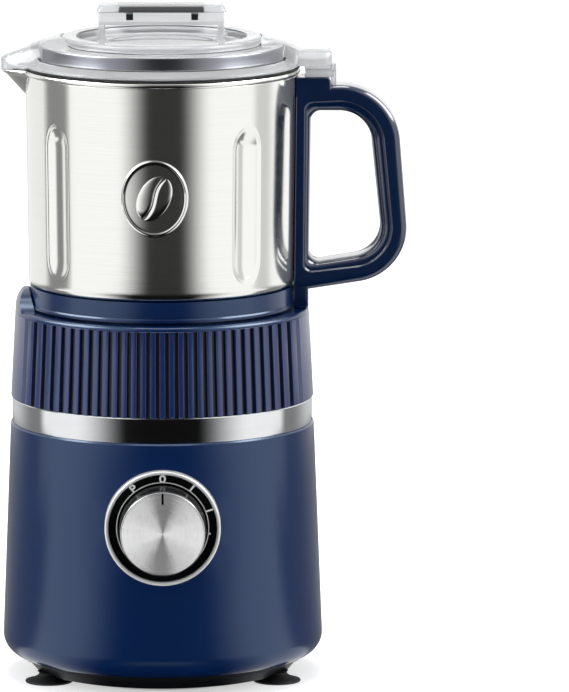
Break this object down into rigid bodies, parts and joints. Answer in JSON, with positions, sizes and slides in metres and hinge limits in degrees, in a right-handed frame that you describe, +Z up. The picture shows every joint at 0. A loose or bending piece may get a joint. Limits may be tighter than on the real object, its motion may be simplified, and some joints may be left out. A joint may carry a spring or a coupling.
{
  "type": "electric coffee grinder",
  "caption": "Upright coffee grinder: navy motor base with a turn knob, ribbed collar, lift-off fluted steel cup with a loop handle and spout, and a clear beaked lid with an interlock.",
  "frame": {"origin": "drive axis at the level of the table that the feet stand on", "axes": "+Z up along the drive axis, -Y to the front where the knob is, +X to the handle, -X to the spout"},
  "size_m": [0.1614, 0.1422, 0.2699],
  "materials": {
    "navy_body": "satin moulded plastic",
    "navy_gloss": "semi-gloss moulded plastic",
    "black_plastic": "fine moulded grain",
    "black_rubber": "soft matt",
    "seal_rubber": "soft translucent white",
    "bright_trim": "polished plate",
    "spun_face": "spun with fine rings",
    "cup_steel": "brushed round the cup",
    "plain_steel": "ground",
    "zinc_steel": "zinc plated",
    "core_iron": "laminated sheet",
    "copper_winding": "enamelled wire",
    "yellow_brass": "turned",
    "clear_lid": "clear moulded plastic"
  },
  "bodies": {
    "base": {"bottom_cover": "black_plastic", "foot_front_left": "black_rubber", "foot_front_right": "black_rubber", "foot_rear_left": "black_rubber", "foot_rear_right": "black_rubber", "cover_screws": "zinc_steel", "housing": "navy_body", "cable_grommet": "black_rubber", "chrome_band": "bright_trim", "collar": "navy_body", "ribbed_sleeve": "navy_body", "collar_screws": "zinc_steel", "dial": "black_plastic", "dial_bezel": "bright_trim", "dial_screws": "zinc_steel", "rotary_switch": "black_plastic", "motor_top_bracket": "zinc_steel", "motor_bottom_bracket": "zinc_steel", "motor_top_bearing": "plain_steel", "motor_bottom_bearing": "plain_steel", "stator": "core_iron", "field_coils": "copper_winding", "motor_bolts": "zinc_steel", "motor_mount_bushes": "black_rubber", "motor_mount_screws": "zinc_steel", "brush_holders": "yellow_brass", "carbon_brushes": "black_plastic", "interlock_switch": "black_plastic"},
    "knob": {"knob": "black_plastic", "knob_face": "spun_face", "switch_spindle": "plain_steel"},
    "rotor": {"motor_shaft": "plain_steel", "armature_core": "core_iron", "armature_winding": "copper_winding", "commutator": "copper_winding", "cooling_fan": "black_plastic", "drive_coupling": "black_plastic"},
    "cup": {"cup_shell": "cup_steel", "cup_base": "navy_body", "bearing_housing": "plain_steel", "bearing_nut": "zinc_steel", "blade_bushes": "yellow_brass", "shaft_seal": "black_rubber", "handle_front": "navy_gloss", "handle_rear": "navy_gloss", "handle_screws": "zinc_steel", "handle_studs": "plain_steel", "interlock_spring": "plain_steel"},
    "blades": {"blade_shaft": "plain_steel", "blade": "plain_steel", "blade_nut": "plain_steel", "driven_coupling": "black_plastic"},
    "lid": {"lid_shell": "clear_lid", "lid_seal": "seal_rubber", "lid_grip": "clear_lid", "lid_grip_cap": "clear_lid", "lid_grip_screws": "zinc_steel"},
    "push_rod": {"interlock_rod": "plain_steel"},
    "switch_button": {"interlock_button": "seal_rubber"}
  },
  "joints": [
    {"name": "rotor_spin", "type": "hinge", "parent": "base", "child": "rotor", "pos_m": [0, 0, 0.08], "axis": [0, 0, 1], "continuous": true},
    {"name": "blade_spin", "type": "hinge", "parent": "cup", "child": "blades", "pos_m": [0, 0, 0.15], "axis": [0, 0, 1], "continuous": true},
    {"name": "knob_turn", "type": "hinge", "parent": "base", "child": "knob", "pos_m": [0, -0.05, 0.0695], "axis": [0, 1, 0], "range_deg": [-36, 69]},
    {"name": "cup_lift", "type": "slide", "parent": "base", "child": "cup", "axis": [0, 0, 1], "range_m": [0, 0.1]},
    {"name": "lid_lift", "type": "slide", "parent": "cup", "child": "lid", "axis": [0, 0, 1], "range_m": [0, 0.06]},
    {"name": "push_rod_slide", "type": "slide", "parent": "cup", "child": "push_rod", "axis": [0, 0, 1], "range_m": [0, 0.0025], "deforming": ["interlock_spring"]},
    {"name": "switch_button_slide", "type": "slide", "parent": "base", "child": "switch_button", "axis": [0, 0, 1], "range_m": [0, 0.0008]}
  ],
  "couplings": [
    {"joint": "blade_spin", "follows": "rotor_spin", "ratio": 1},
    {"joint": "push_rod_slide", "follows": "lid_lift", "ratio": 0.041667},
    {"joint": "switch_button_slide", "follows": "lid_lift", "ratio": 0.013333}
  ]
}
